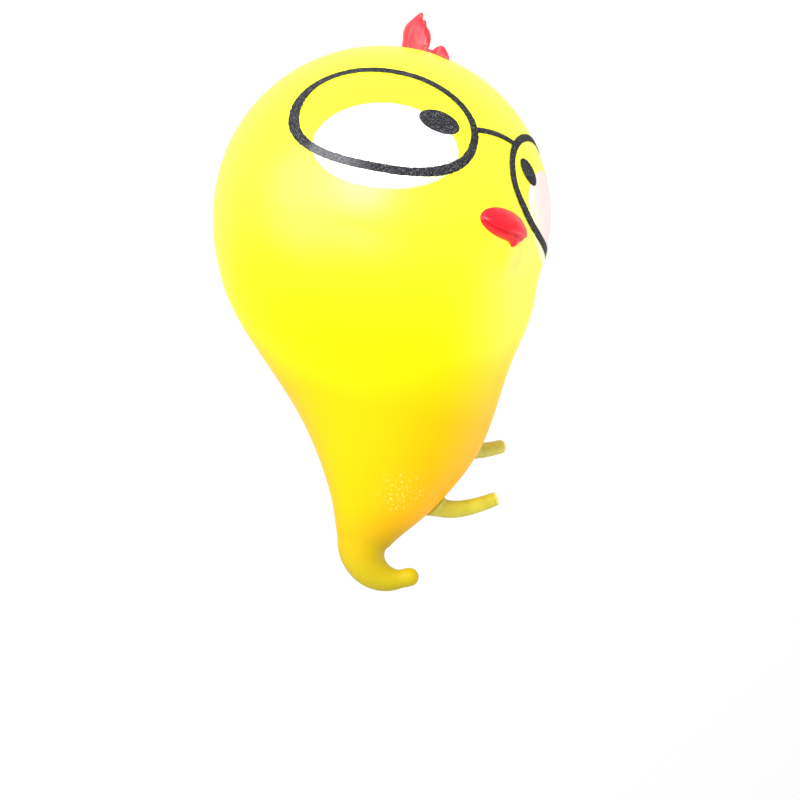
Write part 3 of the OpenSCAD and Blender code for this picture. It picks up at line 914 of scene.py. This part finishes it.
def white_ink(name, low, high):
    material, tree = new_material(name)
    place = add(tree, "ShaderNodeTexCoord").outputs["Object"]
    patchy = add(tree, "ShaderNodeTexNoise", Vector=place, Scale=per_mm(6), Detail=3.0)
    dense = add(tree, "ShaderNodeValToRGB", Fac=patchy.outputs["Fac"], stops=[
        (0.25, colour(low)), (0.75, colour(high))])
    stretch = add(tree, "ShaderNodeAttribute", {"attribute_name": "thin_ink"})
    thin = add(tree, "ShaderNodeMapRange", Value=stretch.outputs["Fac"], To_Max=0.8)
    tint = add(tree, "ShaderNodeMix", {"data_type": "RGBA"}, Factor=thin.outputs[0],
               i6=dense.outputs["Color"], i7=colour("FFFF90")).outputs[2]
    shader = add(tree, "ShaderNodeBsdfPrincipled", Base_Color=tint, Roughness=0.45, IOR=1.48)
    add(tree, "ShaderNodeOutputMaterial", Surface=shader.outputs[0])
    return material


ink_black = black_ink()
# the right white is plain; the left white's pinker colour is a painted pink reflection
white_inks = {"right": white_ink("white_stretched_ink", "FFFCF0", "FFFFFF"),
              "left": white_ink("white_ink_painted_pink_reflection", "E4D4CE", "EADCD6")}
for word, (white, pupil, line) in prints.items():
    give(white, white_inks[word])
    give(pupil, ink_black)
    give(line, ink_black)
give(bridge, ink_black)
print("inks:", ink_black.name, "and", sorted(ink.name for ink in white_inks.values()))

# %% [markdown]
# ## Legs, plug and gel
# The legs and the plug are the same rubber in thin section, so they look a duller, greener
# yellow. The rim of each leg's flat end is lightened with a painted highlight. The gel is a
# milky starch paste.

# %% Make the leg, plug and gel finishes
def thin_rubber(name, low, high, roughness):
    material, tree = new_material(name)
    place = add(tree, "ShaderNodeTexCoord").outputs["Object"]
    cloudy = add(tree, "ShaderNodeTexNoise", Vector=place, Scale=per_mm(3), Detail=3.0)
    moulded = add(tree, "ShaderNodeValToRGB", Fac=cloudy.outputs["Fac"], stops=[
        (0.3, colour(low)), (0.7, colour(high))])
    # painted highlight: the rim of each leg's flat end is lightened to a pale cream
    rim_highlight = add(tree, "ShaderNodeAttribute", {"attribute_name": "cut_end"})
    pale = add(tree, "ShaderNodeMapRange", Value=rim_highlight.outputs["Fac"], To_Max=0.7)
    tint = add(tree, "ShaderNodeMix", {"data_type": "RGBA"}, Factor=pale.outputs[0],
               i6=moulded.outputs["Color"], i7=colour("EEE8A0")).outputs[2]
    bump = add(tree, "ShaderNodeBump", Height=cloudy.outputs["Fac"], Strength=0.2,
               Distance=0.05 * MM)
    shader = add(tree, "ShaderNodeBsdfPrincipled", Base_Color=tint, Roughness=roughness,
                 IOR=1.5, Normal=bump.outputs[0], Subsurface_Weight=0.2,
                 Subsurface_Scale=1.5 * MM)
    add(tree, "ShaderNodeOutputMaterial", Surface=shader.outputs[0])
    return material


leg_rubber = thin_rubber("leg_thin_rubber", "AEA218", "BEB226", 0.45)
for leg in (leg_left, leg_right):
    give(leg, leg_rubber)
give(plug, thin_rubber("plug_rubber", "B8A420", "C8B432", 0.45))
give(gel, thin_rubber("milky_gel", "F0EFE0", "FFFFF4", 0.3))
print("finishes:", [piece.active_material.name for piece in (leg_left, plug, gel)])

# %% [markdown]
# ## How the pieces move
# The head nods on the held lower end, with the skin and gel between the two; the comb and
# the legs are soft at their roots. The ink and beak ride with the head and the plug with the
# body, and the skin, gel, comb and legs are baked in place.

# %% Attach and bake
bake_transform(skin)
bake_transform(gel)
for white, pupil, line in prints.values():
    for film in (white, pupil, line):
        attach(film, "head")
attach(bridge, "head")
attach(beak, "head")
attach(plug, "body")
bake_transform(comb)
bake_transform(leg_left)
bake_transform(leg_right)

# %% [markdown]
# ## Floor, light and camera
# The toy is held in the air, so the pale floor lies well below it. The camera looks from the
# toy's right front, a little below the head.

# %% Floor
FLOOR_DROP, FLOOR_R = 0.7, 3.0
floor = make_piece("floor", *loft(
    Vector((0, 0, -FLOOR_DROP)),
    [[Vector((FLOOR_R * cos(a), FLOOR_R * sin(a), -FLOOR_DROP)) for a in
      (2 * pi * j / 96 for j in range(96))]],
    Vector((0, 0, -FLOOR_DROP - 0.01))))
material, tree = new_material("pale_floor")
matt = add(tree, "ShaderNodeBsdfPrincipled", Base_Color=colour("F2F2F0"), Roughness=0.8)
add(tree, "ShaderNodeOutputMaterial", Surface=matt.outputs[0])
give(floor, material)
print("floor:", FLOOR_DROP, "m below the grip")

# %% Camera
VIEW_AZIMUTH, VIEW_ELEVATION, VIEW_ROLL = radians(-44.5), radians(-4), radians(-11)
DISTANCE, AIM_RIGHT, AIM_DOWN = 0.7, 4.3 * MM, 44 * MM
toward_camera = Vector((sin(VIEW_AZIMUTH) * cos(VIEW_ELEVATION),
                        -cos(VIEW_AZIMUTH) * cos(VIEW_ELEVATION), sin(VIEW_ELEVATION)))
level = Vector((cos(VIEW_AZIMUTH), sin(VIEW_AZIMUTH), 0))
lifted = toward_camera.cross(level)
view_right = cos(VIEW_ROLL) * level - sin(VIEW_ROLL) * lifted
view_up = sin(VIEW_ROLL) * level + cos(VIEW_ROLL) * lifted
eye = HEAD_CENTRE + toward_camera * DISTANCE
aim = HEAD_CENTRE + view_right * AIM_RIGHT - view_up * AIM_DOWN
back = (eye - aim).normalized()
right = view_up.cross(back).normalized()
upward = back.cross(right)
lens = bpy.data.cameras.new("studio_camera")
lens.sensor_width = 36
lens.lens = 36 * 2941 / 800
camera = bpy.data.objects.new("studio_camera", lens)
camera.matrix_world = Matrix.Translation(eye) @ Matrix((right, upward, back)).transposed().to_4x4()
bpy.context.scene.collection.objects.link(camera)
bpy.context.scene.camera = camera
print("camera:", DISTANCE, "m from the head, with a lens of", round(lens.lens, 1), "mm")

# %% [markdown]
# ## Light
# A white room, brighter on the upper left, fills the shadows. A key light near the camera and
# a wide window on the left give the ball its broad highlight, and a weak light on the far
# right lifts the edge on that side.

# %% Room
room_way = (view_up * 0.75 - view_right * 0.66).normalized()
world = bpy.data.worlds.new("white_room")
world.use_nodes = True
sky = world.node_tree
to_sky = add(sky, "ShaderNodeTexCoord").outputs["Generated"]
toward_room = add(sky, "ShaderNodeVectorMath", {"operation": "DOT_PRODUCT"}, i0=to_sky,
                  i1=tuple(room_way))
room = add(sky, "ShaderNodeMapRange", {"interpolation_type": "SMOOTHSTEP"},
           Value=toward_room.outputs["Value"], From_Min=-0.95, From_Max=0.0, To_Min=0.6,
           To_Max=1.05)
sky.links.new(room.outputs[0], sky.nodes["Background"].inputs["Color"])
sky.nodes["Background"].inputs["Strength"].default_value = 1.0
bpy.context.scene.world = world
bpy.context.scene.view_settings.view_transform = "Standard"
print("the room is brightest along", [round(c, 2) for c in room_way])


# %% Soft lights
def soft_light(name, right_by, up_by, away, size, power):
    """A round soft light, placed by its angles from the camera as seen from the head."""
    way = (toward_camera * cos(radians(right_by)) + view_right * sin(radians(right_by))) \
        * cos(radians(up_by)) + view_up * sin(radians(up_by))
    lamp = bpy.data.lights.new(name, "AREA")
    lamp.shape = "DISK"
    lamp.size = size
    lamp.energy = power
    light = bpy.data.objects.new(name, lamp)
    light.location = HEAD_CENTRE + way * away
    light.rotation_euler = way.to_track_quat("Z", "Y").to_euler()
    bpy.context.scene.collection.objects.link(light)


soft_light("key_softbox", -12, 20, 0.6, 0.34, 4.0)
soft_light("left_window", -52, 16, 0.8, 0.8, 5.8)
soft_light("right_fill", 106, -24, 0.8, 0.8, 3.1)
